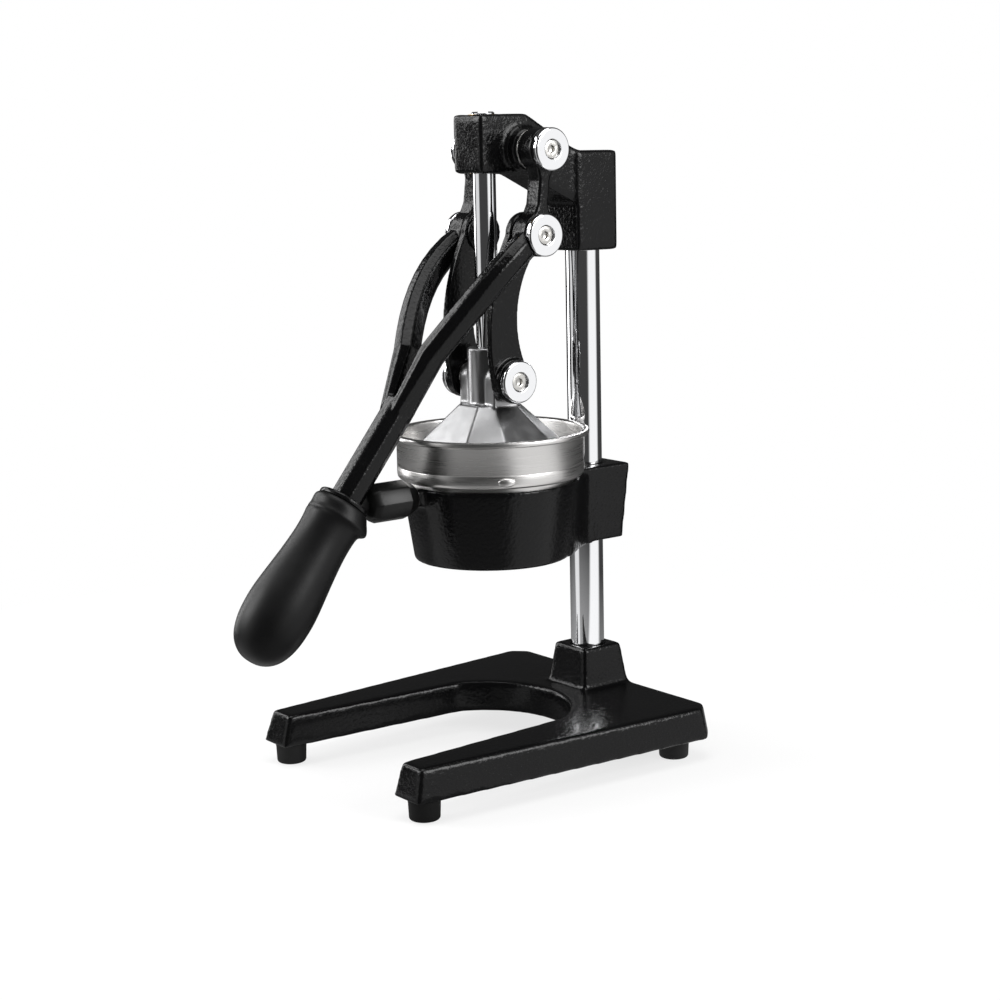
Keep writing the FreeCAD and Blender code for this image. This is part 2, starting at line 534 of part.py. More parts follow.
def cap_set(stem, outer_x, y, z):
    """The chrome caps on both ends of a pivot and the screws that hold them."""
    screws = []
    for label, sign, turn in sides(stem + "_cap"):
        turned(label, [
            ("cap_screw_diameter / 2 + fit_gap", "0"), ("cap_diameter / 2 - cap_edge", "0"),
            ("cap_diameter / 2", "cap_edge"), ("cap_diameter / 2", "cap_thickness - cap_edge"),
            ("cap_diameter / 2 - cap_edge", "cap_thickness"), ("cap_recess_diameter / 2", "cap_thickness"),
            ("cap_recess_diameter / 2", "cap_thickness - cap_recess_depth"),
            ("cap_screw_diameter / 2 + fit_gap",
             "cap_thickness - cap_recess_depth - cap_screw_head_height")],
            x="%d * (%s - cap_thickness)" % (sign, outer_x), y="rod_y + " + y, z=z, turn=turn)
        screws.append(turned(label + "_screw", [
            ("0", "-cap_screw_length + 1"), ("cap_screw_diameter / 2", "-cap_screw_length + 1"),
            ("cap_screw_diameter / 2", "cap_thickness - cap_recess_depth - cap_screw_head_height"),
            ("cap_screw_head_diameter / 2", "cap_thickness - cap_recess_depth"),
            ("socket_width / 2", "cap_thickness - cap_recess_depth"),
            ("socket_width / 2", "cap_thickness - cap_recess_depth - socket_depth"),
            ("0", "cap_thickness - cap_recess_depth - socket_depth")],
            x="%d * (%s - cap_thickness)" % (sign, outer_x), y="rod_y + " + y, z=z, turn=turn,
            listed=False))
    group(stem + "_cap_screws", screws)


for label, sign, turn in sides("top_washer"):
    ring(label, "shaft_diameter + 2 * fit_gap", "washer_diameter", "washer_thickness",
         "%d * boss_end_x" % sign, "a_y", "a_z", turn)
cap_set("top", "cap_outer_x", "a_y", "a_z")

# Press cone: a faceted hollow cone, a round hub for the rod and a cross block for the lower pins
press = new_body("press_cone")
place(press)


def facets(body, name, radius, lift):
    """An eight-sided section whose corners stand at the facets' edge angles from the front."""
    corners = []
    for angle in ("facet_front", "facet_side", "(180 - facet_side)", "(180 - facet_front)",
                  "(180 + facet_front)", "(180 + facet_side)", "-facet_side", "-facet_front"):
        corners.append(("(%s) * sin(%s)" % (radius, angle), "-(%s) * cos(%s)" % (radius, angle)))
    return outline(body, name, "XY_Plane", corners, lift)


loft(press, facets(press, "cone_foot", "cone_bottom_radius", "cone_bottom_z"),
     facets(press, "cone_crown", "cone_top_radius", "cone_top_z"))
boss(press, "cone_skirt", "2 * cone_bottom_radius", "skirt_height", z="cone_bottom_z - skirt_height")
boss(press, "hub", "2 * hub_radius", "hub_top - cone_bottom_z - 2 * cone_wall",
     z="cone_bottom_z + 2 * cone_wall")
solid(press, "AdditiveBox", "cross_block",
      {"Length": "2 * block_half_width", "Width": "block_depth",
       "Height": "c_z - cone_bottom_z - 2 * cone_wall"},
      x="-block_half_width", y="-block_depth / 2", z="cone_bottom_z + 2 * cone_wall")
boss(press, "cross_round", "block_depth", "2 * block_half_width", x="-block_half_width", z="c_z",
     turn=ALONG_X)
# The hollow keeps its wall behind the widest facet, which lies nearest to the axis
HOLLOW_RADIUS = "cone_bottom_radius * cos(facet_front) - cone_wall"
solid(press, "SubtractiveCone", "cone_hollow",
      {"Radius1": HOLLOW_RADIUS, "Radius2": "hollow_top_radius - cone_wall",
       "Height": "cone_top_z - cone_bottom_z - cone_wall"}, z="cone_bottom_z - 1")
bore(press, "skirt_hollow", "2 * (%s)" % HOLLOW_RADIUS, "skirt_height + 1",
     z="cone_bottom_z - skirt_height - 1")
bore(press, "rod_socket", "rod_diameter + 2 * fit_gap", "hub_top - rod_seat + 1", z="rod_seat")
LOWER_PIN_START = "rod_diameter / 2 + 2"
PIN_SOCKET_DEPTH = "block_half_width + 1 - (%s)" % LOWER_PIN_START
bore(press, "pin_socket_left", "pin_diameter + 2 * fit_gap", PIN_SOCKET_DEPTH,
     x="-(%s)" % LOWER_PIN_START, z="c_z", turn=ALONG_BACK_X)
bore(press, "pin_socket_right", "pin_diameter + 2 * fit_gap", PIN_SOCKET_DEPTH,
     x=LOWER_PIN_START, z="c_z", turn=ALONG_X)

# Guide rod: fixed in the hub, chamfered at the top
turned("guide_rod", [
    ("0", "rod_seat"), ("rod_diameter / 2", "rod_seat"), ("rod_diameter / 2", "head_top + rod_proud - 0.8"),
    ("rod_diameter / 2 - 0.8", "head_top + rod_proud"), ("0", "head_top + rod_proud")])
for label, sign, turn in sides("lower_pin"):
    body = new_body(label)
    place(body, "%d * (%s)" % (sign, LOWER_PIN_START), "rod_y", "c_z", turn)
    boss(body, label + "_round", "pin_diameter", "%s - (%s)" % (LOWER_PIN_END, LOWER_PIN_START))
    bore(body, label + "_screw_hole", SCREW_HOLE, "cap_screw_length + 1",
         z="%s - (%s) - cap_screw_length" % (LOWER_PIN_END, LOWER_PIN_START))
for label, sign, turn in sides("lower_washer"):
    ring(label, "pin_diameter + 2 * fit_gap", "lower_washer_diameter",
         "link_inner_x - block_half_width - part_gap", "%d * block_half_width" % sign, "0", "c_z", turn)
cap_set("lower", "lower_cap_outer_x", "0", "c_z")

# Lever: two eyes on the head's shaft, webs down to the middle bosses, arms that join in one bar
def section(centre, across, through, width, depth, chamfer):
    """An eight-sided wire: a chamfered oblong about a point."""
    half_width = width / 2
    half_depth = depth / 2
    corners = []
    for side_x, side_y, flat_first in ((1, -1, False), (1, 1, True), (-1, 1, False), (-1, -1, True)):
        flat = (side_x * (half_width - chamfer), side_y * half_depth)
        steep = (side_x * half_width, side_y * (half_depth - chamfer))
        corners += [steep, flat] if flat_first else [flat, steep]
    spots = [centre + across * u + through * v for u, v in corners]
    return Part.makePolygon(spots + spots[:1])


def lever_shape():
    """The whole lever casting, from the sizes on the sheet."""
    rod = value("rod_y")
    x_axis = Vector(1, 0, 0)
    top = Vector(0, rod + value("a_y"), value("a_z"))
    middle = Vector(0, rod + value("b_y"), value("b_z"))
    eye_inner = value("eye_inner_x")
    eye_width = value(PIN_END) - eye_inner - value("part_gap")
    eye_centre = x_axis * (eye_inner + eye_width / 2)
    eye_radius = value("eye_diameter") / 2
    knots = [middle + eye_centre] + [
        Vector(value("arm_%s_x" % name), rod + value("arm_%s_y" % name), value("arm_%s_z" % name))
        for name in ("bow", "turn", "foot")]
    curve = Part.BezierCurve()
    curve.setPoles(knots)
    stations = 11
    wires = []
    for step in range(stations):
        along = step / (stations - 1)
        tangent = curve.tangent(along)[0]
        through = Vector(0, tangent.z, -tangent.y).normalize()
        across = tangent.cross(through).normalize()
        across = across if across.x > 0 else across * -1
        wires.append(section(curve.value(along), across, through, value("arm_width"), value("arm_depth"),
                             value("arm_chamfer")))
    lean = math.radians(value("bar_lean"))
    bar_down = Vector(0, -math.sin(lean), -math.cos(lean))
    bar_through = Vector(0, bar_down.z, -bar_down.y)
    grip_top = Vector(0, rod + value("grip_top_y"), value("grip_top_z"))
    bar_width = value("bar_diameter")
    join = grip_top - bar_down * value("join_along") + x_axis * value("join_x")
    wires.append(section(join, x_axis, bar_through, value("arm_width") * 0.56, bar_width - 3,
                         value("arm_chamfer") / 2))
    arm = Part.makeLoft(wires, True, True)
    eye_at = lambda pivot: Part.makeCylinder(eye_radius, eye_width, pivot + x_axis * eye_inner, x_axis)
    slope = (middle - top).normalize()
    web_through = Vector(0, slope.z, -slope.y)
    web_wires = []
    for along, depth in ((0, 2.6), (0.34, 1), (0.64, 1), (1, 2.6)):
        spot = top + (middle - top) * along + eye_centre
        web_wires.append(section(spot, x_axis, web_through, eye_width, value("web_depth") * depth,
                                 value("web_depth") / 8))
    web = Part.makeLoft(web_wires, True, True)
    right = [arm, web, eye_at(top), eye_at(middle)]
    left = [item.mirror(Vector(), x_axis) for item in right]
    bar_ends = [grip_top - bar_down * value("bar_length"), grip_top]
    bar = Part.makeLoft([section(spot, x_axis, bar_through, bar_width, bar_width, bar_width * 0.29)
                         for spot in bar_ends], True, True)
    tang = Part.makeCylinder(value("tang_diameter") / 2, value("tang_length"), grip_top, bar_down)
    shape = bar.fuse(tang)
    for item in right + left:
        shape = shape.fuse(item)
    pivot_bore = value("shaft_diameter") / 2 + value("running_gap")
    pin_bore = value("pin_diameter") / 2 + value("fit_gap")
    reach = value("cap_outer_x")
    for pivot, radius in ((top, pivot_bore), (middle, pin_bore)):
        shape = shape.cut(Part.makeCylinder(radius, 2 * reach, pivot - x_axis * reach, x_axis))
    cap_room = value("cap_diameter") / 2 + value("part_gap")
    link_room = value("link_eye_diameter") / 2 + 2 * value("part_gap")
    for way in (x_axis, x_axis * -1):
        shape = shape.cut(Part.makeCylinder(cap_room, reach, middle + way * value(PIN_END), way))
        shape = shape.cut(Part.makeCylinder(link_room, eye_inner, middle, way))
    return shape.removeSplitter()


lever = doc.addObject("Part::Feature", "lever_fork")
lever.Label = "lever_fork"
lever.Shape = lever_shape()
NODES.append(lever)
BAR_TURN = Rotation(Vector(1, 0, 0), 180 - value("bar_lean"))


def on_bar(body):
    """Lays a piece along the bar with its start at the grip's top."""
    place(body, y="rod_y + grip_top_y", z="grip_top_z", turn=BAR_TURN)
    bind(body, "Placement.Rotation.Angle", "180 - bar_lean")


# Ferrule and grip on the lever's tang
TANG_HOLE = "tang_diameter / 2 + fit_gap"
turned("grip_ferrule", [
    (TANG_HOLE, "0"), ("ferrule_diameter / 2 - 0.8", "0"), ("ferrule_diameter / 2", "0.8"),
    ("ferrule_diameter / 2", "ferrule_thickness"), (TANG_HOLE, "ferrule_thickness")])
on_bar(NODES[-1])


def grip_shape():
    """A turned handle: lip, waist, swelling and a round end, over the tang's hole."""
    start = value("ferrule_thickness")
    end = start + value("grip_length")
    bulge = start + value("grip_bulge_at")
    spots = [Vector(value("grip_top_diameter") / 2, 0, start)]
    for name in ("lip", "waist", "bulge"):
        spots.append(Vector(value("grip_%s_diameter" % name) / 2, 0, start + value("grip_%s_at" % name)))
    shoulder = 0.72
    for share in (shoulder, 0.93):
        spots.append(Vector(value("grip_bulge_diameter") / 2 * math.sqrt(1 - share ** 2), 0,
                            bulge + (end - bulge) * share))
    tip = Vector(0, 0, end)
    spline = Part.BSplineCurve()
    spline.interpolate(spots + [tip], False)
    hole = value(TANG_HOLE)
    depth = value("tang_length") + 1
    edges = [spline.toShape(), Part.makeLine(tip, Vector(0, 0, depth)),
             Part.makeLine(Vector(0, 0, depth), Vector(hole, 0, depth)),
             Part.makeLine(Vector(hole, 0, depth), Vector(hole, 0, start)),
             Part.makeLine(Vector(hole, 0, start), spots[0])]
    return Part.Face(Part.Wire(edges)).revolve(Vector(), Vector(0, 0, 1), 360)


grip = doc.addObject("Part::Feature", "grip")
grip.Label = "grip"
grip.Shape = grip_shape()
on_bar(grip)
NODES.append(grip)

# Middle pivots: pins in the lever's bosses with their caps
for label, sign, turn in sides("middle_pin"):
    body = new_body(label)
    place(body, "%d * eye_inner_x" % sign, "rod_y + b_y", "b_z", turn)
    boss(body, label + "_round", "pin_diameter", "%s - eye_inner_x" % PIN_END)
    bore(body, label + "_screw_hole", SCREW_HOLE, "%s - eye_inner_x + 2" % PIN_END, z="-1")
cap_set("middle", "cap_outer_x", "b_y", "b_z")

# Links: curved plates from the lower pins up to studs beside the lever's middle bosses
for label, sign, turn in sides("link"):
    link = new_body(label)
    place(link)
    inner = "link_inner_x" if sign > 0 else "-link_outer_x"
    front_top = ("b_y - link_eye_diameter / 2", "b_z")
    front_low = ("-link_eye_diameter / 2", "c_z")
    plate = outline(link, label + "_profile", "YZ_Plane", [
        ("b_y", "b_z"), front_top + ("link_front_radius", -1), front_low, ("0", "c_z"),
        ("link_eye_diameter * 0.36", "c_z + link_eye_diameter * 0.34", "link_rear_radius", 1),
        ("b_y + link_eye_diameter * 0.14", "b_z - link_eye_diameter * 0.48")], inner)
    pad(link, plate, "link_outer_x - link_inner_x")
    start = "%d * link_inner_x" % sign
    boss(link, label + "_upper_eye", "link_eye_diameter", "link_outer_x - link_inner_x", x=start, y="b_y",
         z="b_z", turn=turn)
    boss(link, label + "_lower_eye", "link_eye_diameter", "link_eye_outer_x - link_inner_x", x=start,
         z="c_z", turn=turn)
    bore(link, label + "_lower_bore", "pin_diameter + 2 * running_gap",
         "link_eye_outer_x - link_inner_x + 2",
         x="%d * (link_inner_x - 1)" % sign, z="c_z", turn=turn)
    bore(link, label + "_stud_bore", "pin_diameter + 2 * fit_gap", "link_outer_x - link_inner_x + 2",
         x="%d * (link_inner_x - 1)" % sign, y="b_y", z="b_z", turn=turn)
for label, sign, turn in sides("middle_stud"):
    stud = new_body(label)
    place(stud, "%d * stud_inner_x" % sign, "rod_y + b_y", "b_z", turn)
    boss(stud, label + "_head", "stud_diameter", "link_inner_x - stud_inner_x")
    boss(stud, label + "_round", "pin_diameter", "link_outer_x - stud_inner_x")

# A sketch settles in the first pass and its solid in the second
doc.recompute()
doc.recompute()
for item in doc.Objects:
    if "Invalid" in item.State or "Error" in item.State:
        raise SystemExit("%s did not build: %s" % (item.Label, item.State))
os.makedirs("parts", exist_ok=True)
for node in NODES:
    if node.Shape.isNull() or not node.Shape.isValid() or not node.Shape.Solids:
        raise SystemExit("%s has no sound solid" % node.Label)
for node in NODES:
    node.Shape.exportStep("parts/%s.step" % node.Label)
whole = Part.makeCompound([node.Shape for node in NODES]).BoundBox
print("%d nodes, X %.2f..%.2f Y %.2f..%.2f Z %.2f..%.2f" % (
    len(NODES), whole.XMin, whole.XMax, whole.YMin, whole.YMax, whole.ZMin, whole.ZMax))
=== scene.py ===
import bpy
import math
from mathutils import Matrix, Vector


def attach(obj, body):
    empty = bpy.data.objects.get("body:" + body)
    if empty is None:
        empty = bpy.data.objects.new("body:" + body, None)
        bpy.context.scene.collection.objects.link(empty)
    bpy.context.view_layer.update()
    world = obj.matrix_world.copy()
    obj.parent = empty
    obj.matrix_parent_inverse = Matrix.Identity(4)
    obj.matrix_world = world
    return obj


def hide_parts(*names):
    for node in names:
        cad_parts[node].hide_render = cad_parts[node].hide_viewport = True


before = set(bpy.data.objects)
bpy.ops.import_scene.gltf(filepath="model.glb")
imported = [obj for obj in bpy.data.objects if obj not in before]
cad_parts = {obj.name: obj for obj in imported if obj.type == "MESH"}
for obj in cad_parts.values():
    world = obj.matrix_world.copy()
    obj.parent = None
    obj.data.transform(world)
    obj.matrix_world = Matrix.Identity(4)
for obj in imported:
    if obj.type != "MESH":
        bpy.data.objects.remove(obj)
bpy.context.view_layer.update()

# Setting: a white studio with one camera and four soft lights
# The camera stands where the picture was taken from, a little above the cup and to the right.
# Shapes and places are in millimetres from the floor and the rod's axis, lamps and bumps in metres.
MM = 0.001
ROD_Y = 42.175


def at(x, y, z):
    """A point in the frame from millimetres about the foot of the rod's axis."""
    return Vector((x, y + ROD_Y, z)) * MM


CAMERA_PLACE = at(960.9, -730.35, 381.2)
CAMERA_AZIMUTH = math.radians(52.51)
CAMERA_RISE = math.radians(10.28)
CAMERA_ROLL = math.radians(-1.25)
camera_data = bpy.data.cameras.new("camera")
camera_data.lens = 71.29
camera_data.sensor_width = 36.0
camera_data.clip_end = 50.0
camera = bpy.data.objects.new("camera", camera_data)
bpy.context.scene.collection.objects.link(camera)
back = Vector((math.sin(CAMERA_AZIMUTH) * math.cos(CAMERA_RISE),
               -math.cos(CAMERA_AZIMUTH) * math.cos(CAMERA_RISE), math.sin(CAMERA_RISE)))
level = Vector((math.cos(CAMERA_AZIMUTH), math.sin(CAMERA_AZIMUTH), 0))
upright = back.cross(level)
across = level * math.cos(CAMERA_ROLL) + upright * math.sin(CAMERA_ROLL)
above = upright * math.cos(CAMERA_ROLL) - level * math.sin(CAMERA_ROLL)
camera.matrix_world = Matrix.Translation(CAMERA_PLACE) @ Matrix((across, above, back)).transposed().to_4x4()
bpy.context.scene.camera = camera
bpy.context.scene.view_settings.view_transform = "Standard"


def new_material(name, color, metallic=0.0, roughness=0.5):
    """A Principled material, with its node tree, its shader and its Object coordinates."""
    material = bpy.data.materials.new(name)
    material.use_nodes = True
    tree = material.node_tree
    shader = tree.nodes["Principled BSDF"]
    shader.inputs["Base Color"].default_value = (*color, 1)
    shader.inputs["Metallic"].default_value = metallic
    shader.inputs["Roughness"].default_value = roughness
    place = tree.nodes.new("ShaderNodeTexCoord").outputs["Object"]
    return material, tree, shader, place


def background_rays(tree):
    """1 for rays that see the background straight, in a reflection or through something clear."""
    path = tree.nodes.new("ShaderNodeLightPath")
    total = path.outputs["Is Camera Ray"]
    for kind in ("Is Glossy Ray", "Is Transmission Ray"):
        add = tree.nodes.new("ShaderNodeMath")
        add.operation = "ADD"
        add.use_clamp = True
        tree.links.new(total, add.inputs[0])
        tree.links.new(path.outputs[kind], add.inputs[1])
        total = add.outputs[0]
    return total


AMBIENT_STRENGTH = 0.45
world = bpy.data.worlds.new("studio")
bpy.context.scene.world = world
world.use_nodes = True
sky = world.node_tree
ambient = sky.nodes["Background"]
ambient.inputs["Color"].default_value = (1, 1, 1, 1)
ambient.inputs["Strength"].default_value = AMBIENT_STRENGTH
white = sky.nodes.new("ShaderNodeBackground")
white.inputs["Color"].default_value = (1, 1, 1, 1)
choose = sky.nodes.new("ShaderNodeMixShader")
sky.links.new(background_rays(sky), choose.inputs["Fac"])
sky.links.new(ambient.outputs[0], choose.inputs[1])
sky.links.new(white.outputs[0], choose.inputs[2])
sky.links.new(choose.outputs[0], sky.nodes["World Output"].inputs["Surface"])
# Reflections see a dim studio with a wide white screen on the right and a narrower one on the left.
# Each has the direction of its middle, the cosines where it starts and is full, and its brightness.
DIM = 0.05
SCREENS = (((0.89, 0.46, 0), 0.78, 0.93, 1.0), ((-0.39, -0.92, 0), 0.9, 0.97, 0.75))


def white_when_seen(tree, gradient):
    """1 for rays straight from a camera, and the gradient's value for reflections."""
    mix = tree.nodes.new("ShaderNodeMix")
    mix.inputs["B"].default_value = 1.0
    tree.links.new(tree.nodes.new("ShaderNodeLightPath").outputs["Is Camera Ray"], mix.inputs["Factor"])
    tree.links.new(gradient, mix.inputs["A"])
    return mix.outputs["Result"]


def screen_light(tree, vector):
    """DIM all round, and brighter where a vector's level direction comes near a screen's middle."""
    level_part = tree.nodes.new("ShaderNodeVectorMath")
    level_part.operation = "MULTIPLY"
    level_part.inputs[1].default_value = (1, 1, 0)
    tree.links.new(vector, level_part.inputs[0])
    heading = tree.nodes.new("ShaderNodeVectorMath")
    heading.operation = "NORMALIZE"
    tree.links.new(level_part.outputs["Vector"], heading.inputs[0])
    total = None
    for middle, edge, full, brightness in SCREENS:
        near = tree.nodes.new("ShaderNodeVectorMath")
        near.operation = "DOT_PRODUCT"
        near.inputs[1].default_value = middle
        tree.links.new(heading.outputs["Vector"], near.inputs[0])
        shade = tree.nodes.new("ShaderNodeMapRange")
        shade.interpolation_type = "SMOOTHSTEP"
        shade.inputs["From Min"].default_value = edge
        shade.inputs["From Max"].default_value = full
        shade.inputs["To Min"].default_value = DIM
        shade.inputs["To Max"].default_value = brightness
        tree.links.new(near.outputs["Value"], shade.inputs["Value"])
        if total is None:
            total = shade.outputs["Result"]
            continue
        larger = tree.nodes.new("ShaderNodeMath")
        larger.operation = "MAXIMUM"
        tree.links.new(total, larger.inputs[0])
        tree.links.new(shade.outputs["Result"], larger.inputs[1])
        total = larger.outputs[0]
    return total


looked_at = sky.nodes.new("ShaderNodeTexCoord").outputs["Generated"]
sky.links.new(white_when_seen(sky, screen_light(sky, looked_at)), white.inputs["Strength"])

MIDDLE = at(0, 0, 190)


def soft_light(name, place, width, height, watts):
    """An oblong area light that faces the middle of the press."""
    data = bpy.data.lights.new(name, "AREA")
    data.shape = "RECTANGLE"
    data.energy = watts
    data.size = width
    data.size_y = height
    lamp = bpy.data.objects.new(name, data)
    bpy.context.scene.collection.objects.link(lamp)
    lamp.location = place
    lamp.rotation_mode = "QUATERNION"
    lamp.rotation_quaternion = (MIDDLE - place).to_track_quat("-Z", "Y")


soft_light("light_left", at(-900, -1100, 900), width=0.8, height=0.8, watts=16)
soft_light("light_right", at(1300, 500, 800), width=0.7, height=0.7, watts=14)
soft_light("light_top", at(100, -100, 1500), width=1.0, height=1.0, watts=10)
soft_light("light_strip", at(-1100, -350, 450), width=0.35, height=1.3, watts=6)

# Close to the press the floor keeps its shadow, and further off it passes into the plain background
FLOOR_WIDTH = 12.0
FLOOR_GAP = 0.0002
FLOOR_GREY = (0.86, 0.86, 0.86)
FADE_START = 0.15
FADE_END = 0.6
GLOW_AT_START = 0.75
bpy.ops.mesh.primitive_plane_add(size=FLOOR_WIDTH, location=(0, 0, -FLOOR_GAP))
floor = bpy.context.object
floor.name = "floor"
floor_material, floor_tree, floor_shader, floor_place = new_material("floor", FLOOR_GREY, roughness=0.7)
floor_shader.inputs["Specular IOR Level"].default_value = 0.1
glow = floor_tree.nodes.new("ShaderNodeEmission")
floor_tree.links.new(white_when_seen(floor_tree, screen_light(floor_tree, floor_place)),
                     glow.inputs["Strength"])
floor_mix = floor_tree.nodes.new("ShaderNodeMixShader")
distance = floor_tree.nodes.new("ShaderNodeVectorMath")
distance.operation = "LENGTH"
floor_tree.links.new(floor_place, distance.inputs[0])
fade = floor_tree.nodes.new("ShaderNodeMapRange")
fade.inputs["From Min"].default_value = FADE_START
fade.inputs["From Max"].default_value = FADE_END
fade.inputs["To Min"].default_value = GLOW_AT_START
fade.inputs["To Max"].default_value = 1.0
floor_tree.links.new(distance.outputs["Value"], fade.inputs["Value"])
share = floor_tree.nodes.new("ShaderNodeMath")
share.operation = "MULTIPLY"
floor_tree.links.new(background_rays(floor_tree), share.inputs[0])
floor_tree.links.new(fade.outputs["Result"], share.inputs[1])
floor_tree.links.new(share.outputs[0], floor_mix.inputs["Fac"])
floor_tree.links.new(floor_shader.outputs[0], floor_mix.inputs[1])
floor_tree.links.new(glow.outputs[0], floor_mix.inputs[2])
floor_tree.links.new(floor_mix.outputs[0], floor_tree.nodes["Material Output"].inputs["Surface"])
floor.data.materials.append(floor_material)


# Base
# Sand-cast iron: two tapering legs, a rear plate and a drafted pedestal for the column.
# It is enamelled glossy black over the casting's skin, which leaves it finely pebbled.
def select_only(piece):
    """Selects one piece and makes it the active one."""
    bpy.ops.object.select_all(action="DESELECT")
    piece.select_set(True)
    bpy.context.view_layer.objects.active = piece


def new_piece(name, mesh):
    """Puts a mesh in the scene as a piece at the origin, selected."""
    piece = bpy.data.objects.new(name, mesh)
    bpy.context.scene.collection.objects.link(piece)
    select_only(piece)
    return piece


def copy_of(node, name):
    """A merged copy of a CAD mesh with its flat faces whole again."""
    piece = new_piece(name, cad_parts[node].data.copy())
    piece.data.materials.clear()
    bpy.ops.mesh.customdata_custom_splitnormals_clear()
    bpy.ops.object.mode_set(mode="EDIT")
    bpy.ops.mesh.select_all(action="SELECT")
    bpy.ops.mesh.remove_doubles(threshold=0.01 * MM)
    bpy.ops.mesh.dissolve_limited(angle_limit=math.radians(0.5))
    bpy.ops.mesh.normals_make_consistent(inside=False)
    bpy.ops.object.mode_set(mode="OBJECT")
    return piece


def worked(piece, kind, **settings):
    """Applies one modifier to a piece."""
    modifier = piece.modifiers.new(kind.lower(), kind)
    for key, setting in settings.items():
        setattr(modifier, key, setting)
    select_only(piece)
    bpy.ops.object.modifier_apply(modifier=modifier.name)


def cast(piece, grain, rounds):
    """Makes one skin of a casting in grains of millimetres, and softens its edges and corners."""
    worked(piece, "REMESH", mode="VOXEL", voxel_size=grain * MM)
    worked(piece, "SMOOTH", factor=0.5, iterations=rounds)


def shown(piece, material, body, nodes, angle=35):
    """Gives a finished piece its material, smooth shading up to an angle and its body, and hides its CAD
    nodes.
    """
    piece.data.materials.clear()
    piece.data.materials.append(material)
    select_only(piece)
    bpy.ops.object.shade_smooth_by_angle(angle=math.radians(angle))
    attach(piece, body)
    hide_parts(*nodes)


def noise(tree, place, scale, detail=2.0, stretch=(1, 1, 1)):
    """A noise value over the piece, stretched along the axes."""
    mapping = tree.nodes.new("ShaderNodeMapping")
    mapping.inputs["Scale"].default_value = stretch
    tree.links.new(place, mapping.inputs["Vector"])
    texture = tree.nodes.new("ShaderNodeTexNoise")
    texture.inputs["Scale"].default_value = scale
    texture.inputs["Detail"].default_value = detail
    tree.links.new(mapping.outputs["Vector"], texture.inputs["Vector"])
    return texture.outputs["Fac"]


NOISE_LOW = 0.3
NOISE_HIGH = 0.7


def spread(tree, value, low, high):
    """The value moved from the noise's usual band to low and high."""
    remap = tree.nodes.new("ShaderNodeMapRange")
    remap.inputs["From Min"].default_value = NOISE_LOW
    remap.inputs["From Max"].default_value = NOISE_HIGH
    remap.inputs["To Min"].default_value = low
    remap.inputs["To Max"].default_value = high
    tree.links.new(value, remap.inputs["Value"])
    return remap.outputs["Result"]


def uneven(tree, shader, value, low, high):
    """Lets the roughness wander between low and high with a noise value."""
    tree.links.new(spread(tree, value, low, high), shader.inputs["Roughness"])


def bump(tree, shader, height, strength, depth):
    """Raises the surface by a height value, to a depth in metres."""
    node = tree.nodes.new("ShaderNodeBump")
    node.inputs["Strength"].default_value = strength
    node.inputs["Distance"].default_value = depth
    tree.links.new(height, node.inputs["Height"])
    tree.links.new(node.outputs["Normal"], shader.inputs["Normal"])


ENAMEL_BLACK = (0.003, 0.003, 0.0032)
PEBBLE_SCALE = 460
enamel, enamel_tree, enamel_shader, enamel_place = new_material("black_enamel", ENAMEL_BLACK)
enamel_shader.inputs["Specular IOR Level"].default_value = 0.15
enamel_shader.inputs["Coat Weight"].default_value = 0.12
enamel_shader.inputs["Coat Roughness"].default_value = 0.06
pebbles = spread(enamel_tree, noise(enamel_tree, enamel_place, scale=PEBBLE_SCALE), 0, 1)
bump(enamel_tree, enamel_shader, pebbles, strength=0.29, depth=0.0005)
uneven(enamel_tree, enamel_shader, noise(enamel_tree, enamel_place, scale=60), 0.13, 0.21)

CAST_ANGLE = 60
base = copy_of("base_casting", "base_casting_skin")
cast(base, grain=1.2, rounds=26)
shown(base, enamel, "frame", ["base_casting"], CAST_ANGLE)


# Feet
# Moulded rubber buttons, slightly wider where they meet the casting, with a recess for a screw.
# Each is held up by a round-headed screw that doesn't reach the floor.
def lathe(name, profile, foot, axis=Vector((0, 0, 1)), steps=72):
    """Turns a profile of (radius, height) in millimetres about an axis through a foot point."""
    turn = Vector((0, 0, 1)).rotation_difference(axis).to_matrix()
    corners = [foot + turn @ Vector((radius, 0, height)) * MM for radius, height in profile]
    mesh = bpy.data.meshes.new(name)
    mesh.from_pydata(corners, [(step, step + 1) for step in range(len(corners) - 1)], [])
    piece = new_piece(name, mesh)
    bpy.ops.object.mode_set(mode="EDIT")
    bpy.ops.mesh.select_all(action="SELECT")
    bpy.ops.mesh.spin(steps=steps, angle=2 * math.pi, center=foot, axis=axis)
    bpy.ops.mesh.select_all(action="SELECT")
    bpy.ops.mesh.remove_doubles(threshold=0.005 * MM)
    bpy.ops.mesh.normals_make_consistent(inside=False)
    bpy.ops.object.mode_set(mode="OBJECT")
    return piece


def edged(piece, width, steps=3, angle=28):
    """Rounds every sharp edge of a piece by a width in millimetres."""
    worked(piece, "BEVEL", width=width * MM, segments=steps, limit_method="ANGLE",
           angle_limit=math.radians(angle), use_clamp_overlap=True)


def plain(node, name, material, body, edge, steps=2):
    """A small piece just as the CAD has it, with its edges broken by a width in millimetres."""
    piece = copy_of(node, name)
    edged(piece, edge, steps)
    shown(piece, material, body, [node])


